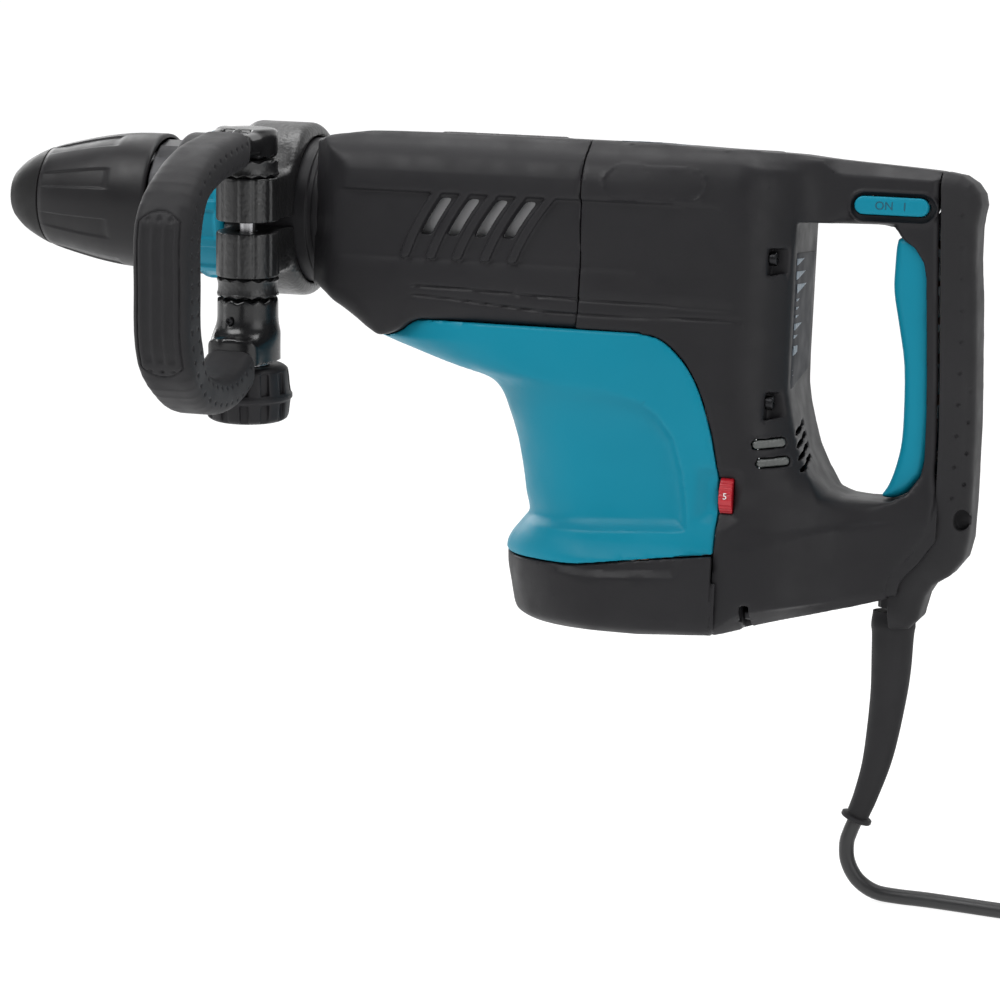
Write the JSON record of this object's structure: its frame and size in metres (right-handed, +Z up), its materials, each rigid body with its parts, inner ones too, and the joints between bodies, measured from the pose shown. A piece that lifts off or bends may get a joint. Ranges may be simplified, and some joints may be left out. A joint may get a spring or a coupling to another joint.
{
  "type": "electric demolition hammer",
  "caption": "Corded demolition hammer with a rotating bit holder, an upright motor, a swivelling D-shaped side grip, a rear D-handle with trigger, and a coiled mains cord.",
  "frame": {"origin": "centre of the rear grip", "axes": "+X from the bit holder towards the rear grip, along the barrel; +Z up; -Y towards the side grip, the operator's left"},
  "size_m": [0.7713, 0.3595, 0.4213],
  "materials": {
    "black_plastic": "fine textured",
    "soft_grip": "matt soft overmould",
    "teal_plastic": "satin",
    "satin_black_metal": "satin black, slightly hammered",
    "steel": "machined",
    "cast_alloy": "as cast",
    "copper": "turned copper",
    "red_plastic": "satin",
    "clear_lens": "clear",
    "label": "printed film",
    "carbon": "carbon block",
    "circuit_board": "lacquered board"
  },
  "bodies": {
    "tool": {"handle_cover": "soft_grip", "cord_guard": "soft_grip", "cord": "soft_grip", "cord_coil": "soft_grip", "plug": "soft_grip", "barrel": "black_plastic", "front_cover": "black_plastic", "base_cover": "black_plastic", "rear_housing": "black_plastic", "coil_tie": "black_plastic", "cord_clamp": "black_plastic", "switch_body": "black_plastic", "motor_housing": "teal_plastic", "cylinder": "steel", "upper_bearing": "steel", "lower_bearing": "steel", "field_stator": "steel", "trigger_pin": "steel", "trigger_spring": "steel", "housing_screw_upper": "steel", "housing_screw_lower": "steel", "base_screw": "steel", "crank_case": "cast_alloy", "power_lamp": "clear_lens", "service_lamp": "clear_lens", "name_plate": "label", "top_label": "label", "brush_holder_front": "carbon", "brush_holder_rear": "carbon", "control_board": "circuit_board"},
    "holder": {"tool_holder": "steel", "chuck_cap": "soft_grip", "lock_roller_upper": "steel", "lock_roller_lower": "steel", "sleeve_spring": "steel"},
    "sleeve": {"chuck_sleeve": "black_plastic"},
    "collar": {"change_ring": "teal_plastic", "ring_collar": "black_plastic"},
    "impact_bolt": {"impact_bolt": "steel"},
    "striker": {"striker": "steel"},
    "piston": {"piston": "cast_alloy", "piston_pin": "steel"},
    "rod": {"connecting_rod": "steel"},
    "crank": {"crank_gear": "steel"},
    "armature": {"armature_shaft": "steel", "armature_core": "steel", "commutator": "copper", "cooling_fan": "black_plastic"},
    "trigger": {"trigger": "teal_plastic"},
    "lock_bar": {"lock_bar": "teal_plastic"},
    "dial": {"speed_dial": "red_plastic"},
    "clamp": {"clamp_band": "satin_black_metal", "upper_tooth_ring": "satin_black_metal", "lower_tooth_ring": "satin_black_metal", "clamp_bolt": "steel"},
    "side_grip": {"side_grip_frame": "black_plastic", "side_grip_rubber": "soft_grip", "boss_screw": "steel"},
    "washer": {"knob_washer": "steel"},
    "knob": {"clamp_knob": "black_plastic"}
  },
  "joints": [
    {"name": "holder_turn", "type": "hinge", "parent": "tool", "child": "holder", "pos_m": [-0.45, 0, 0.07], "axis": [1, 0, 0], "continuous": true},
    {"name": "sleeve_slide", "type": "slide", "parent": "holder", "child": "sleeve", "axis": [1, 0, 0], "range_m": [0, 0.007], "stiffness_N_per_m": 4000, "springref_m": -0.002, "deforming": ["sleeve_spring"]},
    {"name": "ring_slide", "type": "slide", "parent": "holder", "child": "collar", "axis": [-1, 0, 0], "range_m": [0, 0.0025], "stiffness_N_per_m": 4000, "springref_m": -0.002},
    {"name": "bolt_slide", "type": "slide", "parent": "tool", "child": "impact_bolt", "axis": [-1, 0, 0], "range_m": [0, 0.006]},
    {"name": "striker_slide", "type": "slide", "parent": "tool", "child": "striker", "axis": [1, 0, 0], "range_m": [-0.03, 0.024]},
    {"name": "piston_slide", "type": "slide", "parent": "tool", "child": "piston", "axis": [1, 0, 0], "range_m": [0, 0.032]},
    {"name": "rod_swing", "type": "hinge", "parent": "piston", "child": "rod", "pos_m": [-0.291, 0, 0.07], "axis": [0, 0, 1], "range_deg": [-15, 15]},
    {"name": "armature_spin", "type": "hinge", "parent": "tool", "child": "armature", "pos_m": [-0.175, 0, 0], "axis": [0, 0, 1], "continuous": true},
    {"name": "crank_spin", "type": "hinge", "parent": "tool", "child": "crank", "pos_m": [-0.215, 0, 0.03], "axis": [0, 0, 1], "continuous": true},
    {"name": "trigger_pull", "type": "hinge", "parent": "tool", "child": "trigger", "pos_m": [-0.0138, 0, 0.0745], "axis": [0, -1, 0], "range_deg": [0, 2.5], "stiffness_Nm_per_rad": 12, "springref_deg": -1.15, "deforming": ["trigger_spring"]},
    {"name": "lock_slide", "type": "slide", "parent": "tool", "child": "lock_bar", "axis": [0, 1, 0], "range_m": [0, 0.0035]},
    {"name": "dial_turn", "type": "hinge", "parent": "tool", "child": "dial", "pos_m": [-0.1087, -0.0464, -0.0722], "axis": [1, 0, 0], "range_deg": [-120, 120]},
    {"name": "clamp_turn", "type": "hinge", "parent": "tool", "child": "clamp", "pos_m": [-0.388, 0, 0.07], "axis": [1, 0, 0], "continuous": true},
    {"name": "grip_swivel", "type": "hinge", "parent": "clamp", "child": "side_grip", "pos_m": [-0.387, -0.06763, 0.06289], "axis": [0, -0.1045, 0.9945], "range_deg": [-60, 60]},
    {"name": "washer_slide", "type": "slide", "parent": "clamp", "child": "washer", "axis": [0, 0.1045, -0.9945], "range_m": [0, 0.0035]},
    {"name": "knob_turn", "type": "hinge", "parent": "washer", "child": "knob", "pos_m": [-0.387, -0.06763, 0.06289], "axis": [0, -0.1045, 0.9945], "range_deg": [0, 720]}
  ],
  "couplings": [
    {"joint": "crank_spin", "follows": "armature_spin", "ratio": -0.25},
    {"joint": "washer_slide", "follows": "knob_turn", "m_per_rad": 0.0002785}
  ]
}
